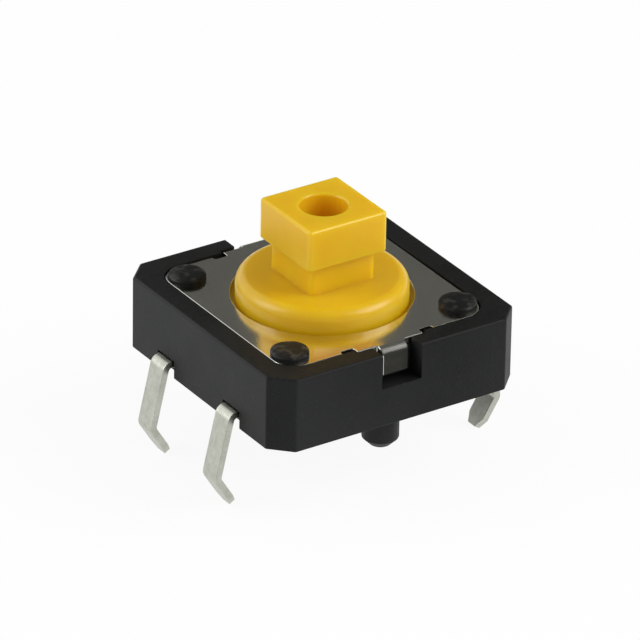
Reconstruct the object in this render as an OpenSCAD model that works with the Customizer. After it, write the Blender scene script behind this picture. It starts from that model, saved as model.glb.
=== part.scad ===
// Tactile push button switch, 12 mm square, with a raised square plunger
// Millimetres. Z = 0 is the face that sits on the circuit board, +Z is the way the plunger points.
// The leads leave through the two walls across X, and the cover's tabs hang in the walls across Y.

/* [Base] */
// Side of the square base
base_w = 12; // [11.5:0.1:14]
// Height of the walls above the board
base_h = 3.3; // [3.1:0.1:4.5]
// Chamfer on each upright corner, measured along the wall
corner_cut = 0.9; // [0.4:0.05:1.2]
// Rounding of the outer top edges
top_edge_r = 0.12; // [0.05:0.01:0.2]
// Thickness of the wall round the cover
wall_t = 1; // [0.8:0.05:1.2]
// Radius of the corners of the cover's pocket
pocket_corner_r = 1.1; // [0.6:0.05:1.4]
// Moulding below the contact metal
under_metal_t = 0.45; // [0.3:0.05:0.6]
// Moulding above the contact metal, which is the floor of the well
over_metal_t = 0.15; // [0.1:0.01:0.25]
// Radius of the holes left by the pins that hold the metal while the base is moulded
hold_pin_r = 0.4; // [0.25:0.05:0.45]
// Those holes to the outer face of the walls across X
hold_pin_inset = 2.4; // [1.8:0.1:2.6]

/* [Posts and bosses] */
// Radius of each post where it passes through the cover
post_r = 0.5; // [0.35:0.05:0.6]
// Radius of the head that is melted down over the cover
post_head_r = 0.8; // [0.7:0.05:0.95]
// Height of that head above the cover
post_head_h = 0.3; // [0.2:0.02:0.4]
// Rounding of the head's edge
post_head_edge_r = 0.14; // [0.05:0.01:0.18]
// Posts to the outer face of the walls across X
post_inset_x = 1.9; // [1.85:0.05:2.1]
// Posts to the outer face of the walls across Y
post_inset_y = 2.1; // [1.85:0.05:2.15]
// Radius of the two bosses that go into the board
boss_r = 0.78; // [0.5:0.02:0.9]
// Length of the bosses below the base
boss_len = 1.7; // [1:0.1:2.5]
// Height of the chamfer on the end of the bosses
boss_cut = 0.35; // [0.1:0.05:0.4]
// Centre of each boss to the outer face of the wall beside it
boss_inset = 1.5; // [1.2:0.1:1.8]

/* [Cover] */
// Thickness of the steel sheet
cover_t = 0.3; // [0.2:0.05:0.35]
// Depth of the cover's top face below the rim of the base
cover_drop = 0.05; // [0:0.01:0.1]
// Radius of the cover's corners
cover_corner_r = 1; // [0.5:0.05:1.2]
// Width of the cover between its edge and its round hole
cover_margin = 1.15; // [1.05:0.05:1.4]
// Width of the tab on each side
tab_w = 1.25; // [0.8:0.05:1.6]
// Length of the tab below the underside of the cover
tab_drop = 0.92; // [0.5:0.02:1.1]
// Inside radius of the tab's bend
tab_bend_r = 0.1; // [0.05:0.01:0.15]
// Outer face of the tab to the outer face of the wall
tab_setback = 0.5; // [0.3:0.02:0.52]
// Width of the ear that the tab hangs from
ear_w = 3.2; // [2.8:0.1:3.8]
// Width of the relief cut beside the ear
relief_w = 0.6; // [0.4:0.05:0.8]
// Depth of the relief cut into the edge of the cover
relief_depth = 0.2; // [0.1:0.02:0.25]

/* [Plunger] */
// Side of the square head
head_w = 3.8; // [3.4:0.1:4.4]
// Height of the head
head_h = 1.8; // [1.2:0.1:2.6]
// Rounding of the head's upright edges and of its top edges
head_edge_r = 0.14; // [0.05:0.01:0.25]
// Side of the square neck below the head
neck_w = 3.1; // [2.6:0.1:3.3]
// Height of the neck
neck_h = 1.35; // [0.8:0.05:2]
// Height of the disc above the cover
disc_h = 0.9; // [0.7:0.05:1.2]
// Rounding of the disc's edge
disc_edge_r = 0.5; // [0.2:0.05:0.6]
// Diameter of the hole in the head
head_hole_d = 2; // [1.4:0.1:2.4]
// Depth of the hole in the head
head_hole_depth = 2.6; // [1.5:0.1:3]
// Width of the chamfer at the mouth of the hole
head_hole_cut = 0.1; // [0.05:0.01:0.15]
// Reach of the flange under the cover
flange_lip = 0.35; // [0.25:0.05:0.45]
// Length of the skirt below the cover
skirt_h = 1.4; // [1:0.05:1.5]
// Thickness of the disc's wall round the hollow in its underside
disc_wall_t = 0.7; // [0.5:0.05:0.75]
// Thickness of the disc above that hollow
disc_t = 0.95; // [0.8:0.05:1.1]
// Radius of the hub that presses the dome
hub_r = 0.75; // [0.5:0.05:1]
// Thickness of the ribs round the hub
rib_t = 0.6; // [0.4:0.05:0.8]
// Height of the ribs
rib_h = 1; // [0.6:0.05:1.1]
// Width of the two keys that stop the plunger from turning
key_w = 1.2; // [0.8:0.1:1.6]
// Reach of the keys beyond the flange
key_reach = 0.4; // [0.25:0.05:0.45]

/* [Snap dome] */
// Edge of the dome to the wall of the well
dome_inset = 1.35; // [1.2:0.05:1.5]
// Thickness of its spring sheet
dome_t = 0.1; // [0.06:0.01:0.12]
// Width of its flat rim
dome_rim = 0.3; // [0.2:0.02:0.4]
// Width of the ring that keeps the dome in the middle
dome_ring_t = 0.25; // [0.2:0.02:0.3]
// Height of that ring
dome_ring_h = 0.2; // [0.1:0.02:0.25]

/* [Leads and contacts] */
// Thickness of the contact metal
metal_t = 0.3; // [0.2:0.02:0.35]
// Width of a lead
lead_w = 1; // [0.7:0.05:1.1]
// Distance between the two leads on one side
lead_pitch = 5; // [4.9:0.1:5.2]
// Inside radius of the bend at the wall
lead_bend_r = 0.15; // [0.1:0.01:0.2]
// Angle by which a lead leans outward, in degrees
lead_splay_angle = 13; // [5:1:15]
// Length of a lead from the bend to the kink
lead_shank = 2.5; // [1.5:0.1:3]
// Inside radius of the kink
lead_kink_r = 0.2; // [0.1:0.02:0.3]
// Angle of the kink that holds the lead in the board, in degrees
lead_kink_angle = 45; // [25:1:50]
// Length of a lead below the kink
lead_tip = 1.45; // [1.2:0.05:1.8]
// Width that the tip's chamfers take off each side of the lead
tip_cut_w = 0.25; // [0.1:0.01:0.3]
// Length of the tip's chamfers along the lead
tip_cut_len = 0.45; // [0.2:0.05:0.6]
// Depth of the notch in the wall that a lead leaves through
notch_depth = 0.4; // [0.3:0.05:0.6]
// Width of the arms that carry the contacts
arm_w = 0.8; // [0.6:0.05:0.9]
// Radius of the pad round each contact
pad_r = 0.55; // [0.5:0.02:0.65]
// Radius of the foot of each contact's pressed bump
bump_r = 0.4; // [0.3:0.02:0.42]
// Height of the outer bumps above the floor of the well
outer_bump_h = 0.05; // [0.03:0.01:0.08]
// Height of the centre bump above the floor of the well
centre_bump_h = 0.13; // [0.1:0.01:0.16]

/* [Travel and fits] */
// Travel of the plunger
travel = 0.3; // [0.2:0.02:0.32]
// Gap between the cover and its pocket
cover_gap = 0.05; // [0.03:0.01:0.1]
// Gap between a post and its hole in the cover
post_gap = 0.06; // [0.03:0.01:0.08]
// Gap between the disc and the cover
disc_gap = 0.2; // [0.15:0.01:0.3]
// Gap between the plunger and the well, and round its keys
slide_gap = 0.1; // [0.06:0.01:0.15]
// Gap between faces that only rest on each other
rest_gap = 0.02; // [0.01:0.005:0.03]
// Gap between the tab and the sides of its window
window_gap = 0.33; // [0.15:0.01:0.4]
// Gap between the tab and the sill and back of its window
tab_gap = 0.1; // [0.05:0.01:0.12]
// Height of the tab's end above the sill of its window
sill_gap = 0.3; // [0.1:0.02:0.35]
// Gap between a lead and the sides of its notch
notch_gap = 0.12; // [0.05:0.01:0.15]
// Height of the notch above the lead
notch_over = 0.2; // [0.1:0.02:0.25]
// Gap round the dome inside its ring
dome_gap = 0.1; // [0.06:0.01:0.12]

/* [Hidden] */
$fn = 64;
cut = 0.5;              // how far a cutting shape runs past the face it cuts
half_w = base_w / 2;
pocket_half = half_w - wall_t;
cover_half = pocket_half - cover_gap;
post_x = half_w - post_inset_x;
post_y = half_w - post_inset_y;
boss_y = half_w - boss_inset;
hold_pin_x = half_w - hold_pin_inset;

// Heights, from the board upward
metal_bottom = under_metal_t;
metal_top = metal_bottom + metal_t;
floor_z = metal_top + over_metal_t;
outer_bump_z = floor_z + outer_bump_h;
centre_bump_z = floor_z + centre_bump_h;
dome_z = outer_bump_z + rest_gap;
dome_rise = centre_bump_z - dome_z + travel;
hub_z = dome_z + dome_rise + dome_t + rest_gap;
cover_top = base_h - cover_drop;
seat_z = cover_top - cover_t;
flange_top = seat_z - rest_gap;
skirt_z = flange_top - skirt_h;
disc_top = cover_top + disc_h;
neck_top = disc_top + neck_h;
head_top = neck_top + head_h;

// Radii, from the cover's hole inward and then outward
cover_hole_r = cover_half - cover_margin;
disc_r = cover_hole_r - disc_gap;
flange_r = cover_hole_r + flange_lip;
well_r = flange_r + slide_gap;
key_r = flange_r + key_reach;
hollow_r = disc_r - disc_wall_t;
hollow_top = disc_top - disc_t;
dome_r = well_r - dome_inset;
bump_ring_r = dome_r - dome_rim / 2;
window_r = bump_r + slide_gap;

// Tabs: the bend starts at the edge of the ear, and the strip starts inside it
tab_face = half_w - tab_setback;
ear_edge = tab_face - cover_t - tab_bend_r;
tab_back = tab_face - cover_t;
tab_z = seat_z - tab_drop;
window_half = tab_w / 2 + window_gap;

// Leads
notch_x = half_w - notch_depth;
lead_y = lead_pitch / 2;
// Turn from level to upright
square_angle = 90;
// Each step of a bent strip: straight length, turn in degrees, inside radius of the turn
LEAD_STEPS = [
    [notch_depth, square_angle - lead_splay_angle, lead_bend_r],
    [lead_shank, lead_kink_angle, lead_kink_r],
    [lead_tip, 0, 0]
];
TAB_STEPS = [
    [cover_t, square_angle, tab_bend_r],
    [tab_drop - tab_bend_r, 0, 0]
];
// Places of the contact bumps under the dome's rim, as angles from +X
OUTER_BUMP_ANGLES = [15, 165, 270];
// Turns from one pair of the base's side faces to the next
FACE_TURNS = [0, 45, 90, 135];

// Radius of the sphere whose cap has this foot radius and height
function cap_sphere_r(foot_r, height) = (foot_r * foot_r + height * height) / (2 * height);

// Rectangle with round corners, centred
module rounded_rect(w, d, r) {
    square([w - 2 * r, d], center = true);
    square([w, d - 2 * r], center = true);
    for (x = [-1, 1], y = [-1, 1])
        translate([x * (w / 2 - r), y * (d / 2 - r)]) circle(r);
}

// Upright section of a block: flat foot, round top corners
module soft_top_section(w, h, r) {
    translate([-w / 2, 0]) square([w, h - r]);
    translate([-w / 2 + r, 0]) square([w - 2 * r, h]);
    for (x = [-1, 1]) translate([x * (w / 2 - r), h - r]) circle(r);
}

// That section drawn out along Y
module soft_top_bar(w, h, r, length) {
    translate([0, length / 2, 0])
        rotate([90, 0, 0])
            linear_extrude(length) soft_top_section(w, h, r);
}

// Part of a ring between two radii that spans an angle below 180, clockwise from the top
module ring_sector(r_in, r_out, angle) {
    reach = 2 * r_out;
    intersection() {
        difference() {
            circle(r_out);
            circle(r_in);
        }
        polygon([[0, 0], [0, reach], [reach * tan(angle / 2), reach],
                 [reach * sin(angle), reach * cos(angle)]]);
    }
}

// Side view of a bent strip: it starts along +X, and each turn bends it downward
module bent_section(steps, t, k = 0) {
    if (k < len(steps)) {
        length = steps[k][0];
        angle = steps[k][1];
        r = steps[k][2];
        if (length > 0) square([length, t]);
        translate([length, -r]) {
            if (angle > 0) ring_sector(r, r + t, angle);
            rotate(-angle) translate([0, r]) bent_section(steps, t, k + 1);
        }
    }
}

// Places its children at the end of a bent strip, in the XZ plane
module at_strip_end(steps, k = 0) {
    if (k < len(steps))
        translate([steps[k][0], 0, -steps[k][2]])
            rotate([0, steps[k][1], 0])
                translate([0, 0, steps[k][2]]) at_strip_end(steps, k + 1) children();
    else
        children();
}

// A bent strip as a solid, centred on Y
module bent_strip(steps, t, w) {
    translate([0, w / 2, 0]) rotate([90, 0, 0]) linear_extrude(w) bent_section(steps, t);
}

module copy_mirrored_x() {
    children();
    mirror([1, 0, 0]) children();
}

module copy_mirrored_y() {
    children();
    mirror([0, 1, 0]) children();
}

// Base: outer block with chamfered corners and softened top edges
module base_block() {
    across_corners = sqrt(2) * (base_w - corner_cut);
    intersection_for(turn = FACE_TURNS)
        rotate(turn)
            soft_top_bar(turn % 90 == 0 ? base_w : across_corners, base_h, top_edge_r, 2 * base_w);
}

// Pocket for the cover, with room for its ears
module cover_pocket() {
    translate([0, 0, seat_z]) linear_extrude(cut + cover_t + cover_drop) {
        rounded_rect(2 * pocket_half, 2 * pocket_half, pocket_corner_r);
        square([ear_w + 2 * tab_gap, 2 * (ear_edge + tab_gap)], center = true);
    }
}

// Window in the wall that a tab hangs in
module tab_window() {
    sill_z = tab_z - sill_gap;
    window_back = tab_back - tab_gap;
    translate([-window_half, window_back, sill_z])
        cube([2 * window_half, half_w - window_back + cut, base_h - sill_z + cut]);
}

// Round well of the plunger, with a slot for each key
module well() {
    slot_w = key_w + 2 * slide_gap;
    slot_r = key_r + slide_gap;
    height = seat_z - floor_z + cut;
    translate([0, 0, floor_z]) {
        cylinder(r = well_r, h = height);
        translate([-slot_r, -slot_w / 2, 0]) cube([2 * slot_r, slot_w, height]);
    }
}

// Notch at the foot of the wall round a lead
module lead_notch() {
    notch_w = lead_w + 2 * notch_gap;
    translate([notch_x, lead_y - notch_w / 2, -cut])
        cube([notch_depth + cut, notch_w, cut + metal_top + notch_over]);
}

// Post through the cover, with its foot in the wall and its melted head on the cover
module staked_post() {
    foot_h = cover_t;
    translate([0, 0, seat_z - foot_h]) cylinder(r = post_r, h = foot_h + cover_t);
    translate([0, 0, cover_top]) rotate_extrude() intersection() {
        soft_top_section(2 * post_head_r, post_head_h, post_head_edge_r);
        square([post_head_r, post_head_h]);
    }
}

// Boss that goes into the board, with a chamfered end
module locating_boss() {
    straight = boss_len - boss_cut;
    translate([0, 0, -straight]) cylinder(r = boss_r, h = straight + under_metal_t / 2);
    translate([0, 0, -boss_len]) cylinder(r1 = boss_r - boss_cut, r2 = boss_r, h = boss_cut);
}

// Low ring on the floor that keeps the dome in the middle
module dome_ring() {
    inner_r = dome_r + dome_gap;
    translate([0, 0, floor_z]) difference() {
        cylinder(r = inner_r + dome_ring_t, h = dome_ring_h);
        translate([0, 0, -cut]) cylinder(r = inner_r, h = dome_ring_h + 2 * cut);
    }
}

module base() {
    color([0.15, 0.155, 0.15]) {
        difference() {
            base_block();
            cover_pocket();
            well();
            copy_mirrored_y() tab_window();
            copy_mirrored_x() copy_mirrored_y() lead_notch();
            centre_strip();
            outer_strip();
            at_contacts() translate([0, 0, metal_top]) cylinder(r = window_r, h = over_metal_t + cut);
            copy_mirrored_x() copy_mirrored_y()
                translate([hold_pin_x, lead_y, -cut]) cylinder(r = hold_pin_r, h = cut + under_metal_t);
        }
        dome_ring();
        copy_mirrored_x() copy_mirrored_y() translate([post_x, post_y, 0]) staked_post();
        copy_mirrored_y() translate([0, boss_y, 0]) locating_boss();
    }
}

// Cover: one stamped sheet with a round hole, post holes, ears and two tabs that are bent down
module cover_outline() {
    difference() {
        union() {
            rounded_rect(2 * cover_half, 2 * cover_half, cover_corner_r);
            square([ear_w, 2 * ear_edge], center = true);
        }
        circle(cover_hole_r);
        copy_mirrored_x() copy_mirrored_y() {
            translate([post_x, post_y]) circle(post_r + post_gap);
            translate([ear_w / 2, cover_half - relief_depth]) square([relief_w, relief_depth + cut]);
        }
    }
}

module cover() {
    color([0.45, 0.45, 0.43]) translate([0, 0, seat_z]) {
        linear_extrude(cover_t) cover_outline();
        copy_mirrored_y()
            translate([0, ear_edge - cover_t, 0]) rotate(90) bent_strip(TAB_STEPS, cover_t, tab_w);
    }
}

// Head of the plunger: round upright edges and round top edges, with a flat foot
module plunger_head() {
    translate([0, 0, neck_top]) intersection() {
        linear_extrude(head_h) rounded_rect(head_w, head_w, head_edge_r);
        soft_top_bar(head_w, head_h, head_edge_r, 2 * head_w);
        rotate(90) soft_top_bar(head_w, head_h, head_edge_r, 2 * head_w);
    }
}

// Disc that shows in the cover, and the wider flange and skirt below it
module plunger_disc() {
    rotate_extrude() {
        intersection() {
            translate([0, skirt_z]) soft_top_section(2 * disc_r, disc_top - skirt_z, disc_edge_r);
            translate([0, skirt_z]) square([disc_r, disc_top - skirt_z]);
        }
        translate([0, skirt_z]) square([flange_r, skirt_h]);
    }
    translate([-key_r, -key_w / 2, skirt_z]) cube([2 * key_r, key_w, skirt_h]);
}

// Hole in the head, with a small chamfer at its mouth
module head_hole() {
    r = head_hole_d / 2;
    translate([0, 0, head_top - head_hole_depth]) cylinder(r = r, h = head_hole_depth + cut);
    translate([0, 0, head_top - head_hole_cut])
        cylinder(r1 = r, r2 = r + head_hole_cut + cut, h = head_hole_cut + cut);
}

// Hub that presses the dome, and the crossed ribs that hold it
module plunger_hub() {
    root_z = hollow_top + disc_t / 2;
    rib_reach = hollow_r + disc_wall_t / 2;
    translate([0, 0, hub_z]) cylinder(r = hub_r, h = root_z - hub_z);
    for (turn = [45, 135])
        rotate(turn) translate([-rib_reach, -rib_t / 2, hollow_top - rib_h])
            cube([2 * rib_reach, rib_t, root_z - hollow_top + rib_h]);
}

module plunger() {
    color([0.88, 0.66, 0.12]) {
        difference() {
            union() {
                plunger_head();
                translate([0, 0, disc_top - disc_edge_r])
                    linear_extrude(neck_h + disc_edge_r) rounded_rect(neck_w, neck_w, head_edge_r);
                plunger_disc();
            }
            head_hole();
            translate([0, 0, skirt_z - cut]) cylinder(r = hollow_r, h = hollow_top - skirt_z + cut);
        }
        plunger_hub();
    }
}

// Snap dome: a shallow cap of spring sheet with a flat rim
module snap_dome() {
    cap_r = dome_r - dome_rim;
    sphere_r = cap_sphere_r(cap_r, dome_rise);
    color([0.75, 0.75, 0.72]) translate([0, 0, dome_z]) rotate_extrude() {
        translate([cap_r, 0]) square([dome_rim, dome_t]);
        intersection() {
            translate([0, dome_rise - sphere_r]) difference() {
                circle(sphere_r + dome_t);
                circle(sphere_r);
            }
            square([cap_r + dome_t, dome_rise + dome_t]);
        }
    }
}

// Contact frames: flat strips in the floor, each ending in two bent leads
module at_outer_contacts() {
    for (angle = OUTER_BUMP_ANGLES)
        translate([bump_ring_r * cos(angle), bump_ring_r * sin(angle), 0]) children();
}

module at_contacts() {
    children();
    at_outer_contacts() children();
}

module strip_between_leads() {
    square([base_w, lead_w], center = true);
}

// Strip with the centre contact on a short arm
module centre_strip() {
    translate([0, 0, metal_bottom]) linear_extrude(metal_t) {
        translate([0, lead_y]) strip_between_leads();
        translate([-arm_w / 2, 0]) square([arm_w, lead_y]);
        circle(pad_r);
    }
}

// Strip with three contacts, each on an arm that runs along Y from the strip
module outer_strip() {
    translate([0, 0, metal_bottom]) linear_extrude(metal_t) {
        translate([0, -lead_y]) strip_between_leads();
        at_outer_contacts() circle(pad_r);
        for (angle = OUTER_BUMP_ANGLES) {
            pad_y = bump_ring_r * sin(angle);
            translate([bump_ring_r * cos(angle) - arm_w / 2, min(pad_y, -lead_y)])
                square([arm_w, abs(pad_y + lead_y)]);
        }
    }
}

// Bump pressed up out of a pad, as the cap of a sphere
module contact_bump(top_z) {
    height = top_z - metal_top;
    sphere_r = cap_sphere_r(bump_r, height);
    intersection() {
        translate([0, 0, top_z - sphere_r]) sphere(sphere_r);
        translate([-bump_r - cut, -bump_r - cut, metal_top])
            cube([2 * (bump_r + cut), 2 * (bump_r + cut), height + cut]);
    }
}

// Lead with its bend at the wall, its kink, and a tip with chamfered sides
module lead() {
    tip_half = lead_w / 2 - tip_cut_w;
    translate([notch_x, 0, metal_bottom]) difference() {
        bent_strip(LEAD_STEPS, metal_t, lead_w);
        copy_mirrored_y() at_strip_end(LEAD_STEPS)
            translate([0, 0, -cut]) linear_extrude(metal_t + 2 * cut)
                polygon([[-tip_cut_len, lead_w / 2], [0, tip_half], [cut, tip_half], [cut, lead_w]]);
    }
}

module contact_frame_centre() {
    color([0.72, 0.73, 0.68]) {
        centre_strip();
        contact_bump(centre_bump_z);
        copy_mirrored_x() translate([0, lead_y, 0]) lead();
    }
}

module contact_frame_outer() {
    color([0.72, 0.73, 0.68]) {
        outer_strip();
        at_outer_contacts() contact_bump(outer_bump_z);
        copy_mirrored_x() translate([0, -lead_y, 0]) lead();
    }
}

base();
cover();
plunger();
snap_dome();
contact_frame_centre();
contact_frame_outer();
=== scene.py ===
from math import asin, cos, pi, radians, sin, sqrt, tan

import bmesh
import bpy
from mathutils import Matrix, Vector


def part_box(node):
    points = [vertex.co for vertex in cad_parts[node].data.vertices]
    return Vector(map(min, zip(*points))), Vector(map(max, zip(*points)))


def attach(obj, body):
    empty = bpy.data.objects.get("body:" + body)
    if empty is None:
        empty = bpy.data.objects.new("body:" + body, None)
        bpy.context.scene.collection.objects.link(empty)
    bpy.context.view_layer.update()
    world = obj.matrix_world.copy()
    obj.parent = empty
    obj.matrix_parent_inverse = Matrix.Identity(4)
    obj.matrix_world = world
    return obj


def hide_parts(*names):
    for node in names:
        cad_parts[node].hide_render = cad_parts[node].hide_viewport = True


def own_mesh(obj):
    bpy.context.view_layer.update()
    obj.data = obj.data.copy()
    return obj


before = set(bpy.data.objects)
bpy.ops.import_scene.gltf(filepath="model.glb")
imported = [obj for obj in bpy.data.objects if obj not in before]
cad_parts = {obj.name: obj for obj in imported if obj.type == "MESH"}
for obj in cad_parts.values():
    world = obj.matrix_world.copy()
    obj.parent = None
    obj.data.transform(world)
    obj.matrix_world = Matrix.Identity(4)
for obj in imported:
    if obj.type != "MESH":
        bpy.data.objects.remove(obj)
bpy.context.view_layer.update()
MM = 0.001

# Camera
# The object is seen from above one corner, between the wall with the two near leads and a wall with
# a tab. The lens is long and far off, so edges that run away from it stay almost parallel.
CAMERA_AZIMUTH = radians(-33.513)
CAMERA_ELEVATION = radians(28.072)
CAMERA_ROLL = radians(1.015)
CAMERA_DISTANCE = 300 * MM
CAMERA_NEAR = 10 * MM
CAMERA_AIM = Vector((-0.076, 0, 1.958)) * MM
PHOTO_SIDE = 640
FOCAL_LENGTH_PIXELS = 7281.4
SENSOR_SIDE = 36

back = Vector((sin(CAMERA_AZIMUTH) * cos(CAMERA_ELEVATION),
               -cos(CAMERA_AZIMUTH) * cos(CAMERA_ELEVATION),
               sin(CAMERA_ELEVATION)))
level_right = (-back).cross(Vector((0, 0, 1))).normalized()
level_up = back.cross(level_right)
right = cos(CAMERA_ROLL) * level_right + sin(CAMERA_ROLL) * level_up
up = cos(CAMERA_ROLL) * level_up - sin(CAMERA_ROLL) * level_right
camera = bpy.data.objects.new("camera", bpy.data.cameras.new("camera"))
bpy.context.scene.collection.objects.link(camera)
turn = Matrix((right, up, back)).transposed()
camera.matrix_world = Matrix.Translation(CAMERA_AIM + back * CAMERA_DISTANCE) @ turn.to_4x4()
camera.data.sensor_width = SENSOR_SIDE
camera.data.lens = FOCAL_LENGTH_PIXELS * SENSOR_SIDE / PHOTO_SIDE
camera.data.clip_start = CAMERA_NEAR
bpy.context.scene.camera = camera
bpy.context.scene.view_settings.view_transform = "Standard"

# Base
# One injection moulding in black glass-filled plastic, with chamfered corners, a pocket for the cover,
# a round well for the plunger and two bosses below. It is moulded round the contact metal. Its four
# posts are melted down over the cover.
HALF_W = 6
CORNER_CUT = 0.9
CORNER_TURN = 45
BASE_H = 3.3
TOP_EDGE_R = 0.12
CORNER_EDGE_R = 0.12
FOOT_EDGE_R = 0.06
POCKET_HALF = 5
POCKET_CORNER_R = 1.1
SEAT_Z = 2.95
COVER_T = 0.3
COVER_TOP = SEAT_Z + COVER_T
EAR_POCKET_HALF = 1.7
EAR_POCKET_Y = 5.2
WELL_R = 4.25
WELL_SLOT_R = 4.65
WELL_SLOT_HALF = 0.7
FLOOR_Z = 0.9
WINDOW_HALF = 0.955
WINDOW_BACK = 5.1
WINDOW_SILL = 1.73
METAL_BOTTOM = 0.45
METAL_T = 0.3
METAL_MID = METAL_BOTTOM + METAL_T / 2
METAL_TOP = METAL_BOTTOM + METAL_T
LEAD_Y = 2.5
NOTCH_X = 5.6
NOTCH_HALF = 0.62
NOTCH_HEADROOM = 0.05
NOTCH_TOP = METAL_TOP + NOTCH_HEADROOM
HOLD_PIN_R = 0.4
HOLD_PIN_X = 3.6
CONTACT_WINDOW_R = 0.48
BUMP_RING_R = 2.75
BUMP_ANGLES = (15, 165, 270)
OUTER_BUMP_TOP = 0.95
DOME_RING = (3.0, 3.25)
DOME_RING_TOP = 1.1
RING_ROOT = 0.05
POST_X = 4.1
POST_Y = 3.9
POST_R = 0.5
POST_HEAD_R = 0.8
POST_HEAD_H = 0.3
SHANK_IN_HEAD = 0.5
BOSS_Y = 4.5
BOSS_R = 0.78
BOSS_LEN = 1.7
BOSS_CUT = 0.35
MOULDED_EDGE = 0.035
# Length by which a cut runs past a face
PAST = 0.7
ROUND_STEPS = 96
BOSS_STEPS = 48
SMALL_STEPS = 32
CORNER_STEPS = 12
CHAMFER_STEPS = 3
WELD_DISTANCE = 1e-5


def loft(rings, closed=False):
    """Closed mesh through rings of points. The first and last rings are capped, or join if closed."""
    bm = bmesh.new()
    rows = [[bm.verts.new(p) for p in ring] for ring in rings]
    count = len(rows[0])
    pairs = list(zip(rows, rows[1:] + rows[:1])) if closed else list(zip(rows, rows[1:]))
    for a, b in pairs:
        for i in range(count):
            j = (i + 1) % count
            bm.faces.new((a[i], a[j], b[j], b[i]))
    if not closed:
        bm.faces.new(reversed(rows[0]))
        bm.faces.new(rows[-1])
    bmesh.ops.recalc_face_normals(bm, faces=bm.faces)
    mesh = bpy.data.meshes.new("solid")
    bm.to_mesh(mesh)
    bm.free()
    return mesh


def level(outline, z):
    return [(x, y, z) for x, y in outline]


def block(outline, low, high):
    return loft([level(outline, low), level(outline, high)])


def circle(r, x=0, y=0, steps=ROUND_STEPS):
    return [(x + r * cos(2 * pi * k / steps), y + r * sin(2 * pi * k / steps)) for k in range(steps)]


def lathe(profile, x=0, y=0, steps=ROUND_STEPS):
    """Solid turned from (radius, height) points that run from its foot to its top."""
    return loft([level(circle(r, x, y, steps), z) for r, z in profile])


def arc(cx, cy, r, start, end, steps):
    """Points of an arc in degrees, both ends included."""
    angles = [radians(start + (end - start) * k / steps) for k in range(steps + 1)]
    return [(cx + r * cos(a), cy + r * sin(a)) for a in angles]


def rectangle(x0, y0, x1, y1):
    return [(x0, y0), (x1, y0), (x1, y1), (x0, y1)]


def octagon(inset):
    """Footprint of the base, moved inward, with each upright edge rounded."""
    side = HALF_W - inset
    reach = 2 * HALF_W - CORNER_CUT - inset * sqrt(2)
    r = CORNER_EDGE_R
    along = reach - side
    pull = r * tan(radians(CORNER_TURN / 2))
    points = []
    for quarter in range(4):
        a = radians(90 * quarter)
        for cx, cy, start in ((side - r, along - pull, 0), (along - pull, side - r, CORNER_TURN)):
            for x, y in arc(cx, cy, r, start, start + CORNER_TURN, CHAMFER_STEPS):
                points.append((x * cos(a) - y * sin(a), x * sin(a) + y * cos(a)))
    return points


def keyed_circle(r, key_r, key_half):
    """Circle with a flat-ended key on each side across X."""
    rise = asin(key_half / r)
    steps = ROUND_STEPS // 2
    angles = [rise + (pi - 2 * rise) * k / steps for k in range(steps + 1)]
    key_end = [(key_r, -key_half), (key_r, key_half)]
    half = key_end + [(r * cos(a), r * sin(a)) for a in angles]
    return half + [(-x, -y) for x, y in half]


def solid(mesh):
    made = bpy.data.objects.new("solid", mesh)
    bpy.context.scene.collection.objects.link(made)
    return made


def settle(piece):
    """Makes a piece's modifiers part of its mesh."""
    bpy.context.view_layer.update()
    evaluated = piece.evaluated_get(bpy.context.evaluated_depsgraph_get())
    mesh = bpy.data.meshes.new_from_object(evaluated)
    piece.modifiers.clear()
    piece.data = mesh
    return piece


def combine(piece, operation, *meshes, solver="EXACT"):
    """Cuts each mesh out of a piece (DIFFERENCE) or grows it on (UNION)."""
    for mesh in meshes:
        other = solid(mesh)
        step = piece.modifiers.new("step", "BOOLEAN")
        step.operation = operation
        step.solver = solver
        step.object = other
        settle(piece)
        bpy.data.objects.remove(other)


def soften(piece, width, angle=32, segments=2):
    """Rounds the edges that turn more sharply than an angle."""
    step = piece.modifiers.new("edges", "BEVEL")
    step.width = width
    step.segments = segments
    step.limit_method = "ANGLE"
    step.angle_limit = radians(angle)
    step.use_clamp_overlap = False
    step.miter_outer = "MITER_ARC"
    settle(piece)


def hand_over(piece, name, material, smooth_angle=35):
    """Brings a piece from millimetres to metres, shades it and gives it its name and material."""
    mesh = piece.data
    bm = bmesh.new()
    bm.from_mesh(mesh)
    bmesh.ops.remove_doubles(bm, verts=bm.verts, dist=WELD_DISTANCE)
    bmesh.ops.dissolve_degenerate(bm, edges=bm.edges, dist=WELD_DISTANCE)
    for face in bm.faces:
        face.smooth = True
    for edge in bm.edges:
        edge.smooth = len(edge.link_faces) == 2 and edge.calc_face_angle(0) < radians(smooth_angle)
    bm.to_mesh(mesh)
    bm.free()
    mesh.materials.clear()
    mesh.materials.append(material)
    step = piece.modifiers.new("flat faces", "WEIGHTED_NORMAL")
    step.mode = "FACE_AREA"
    step.weight = 80
    step.thresh = 0
    step.keep_sharp = True
    settle(piece)
    piece.data.transform(Matrix.Scale(MM, 4))
    piece.name = name
    piece.data.name = name


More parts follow.
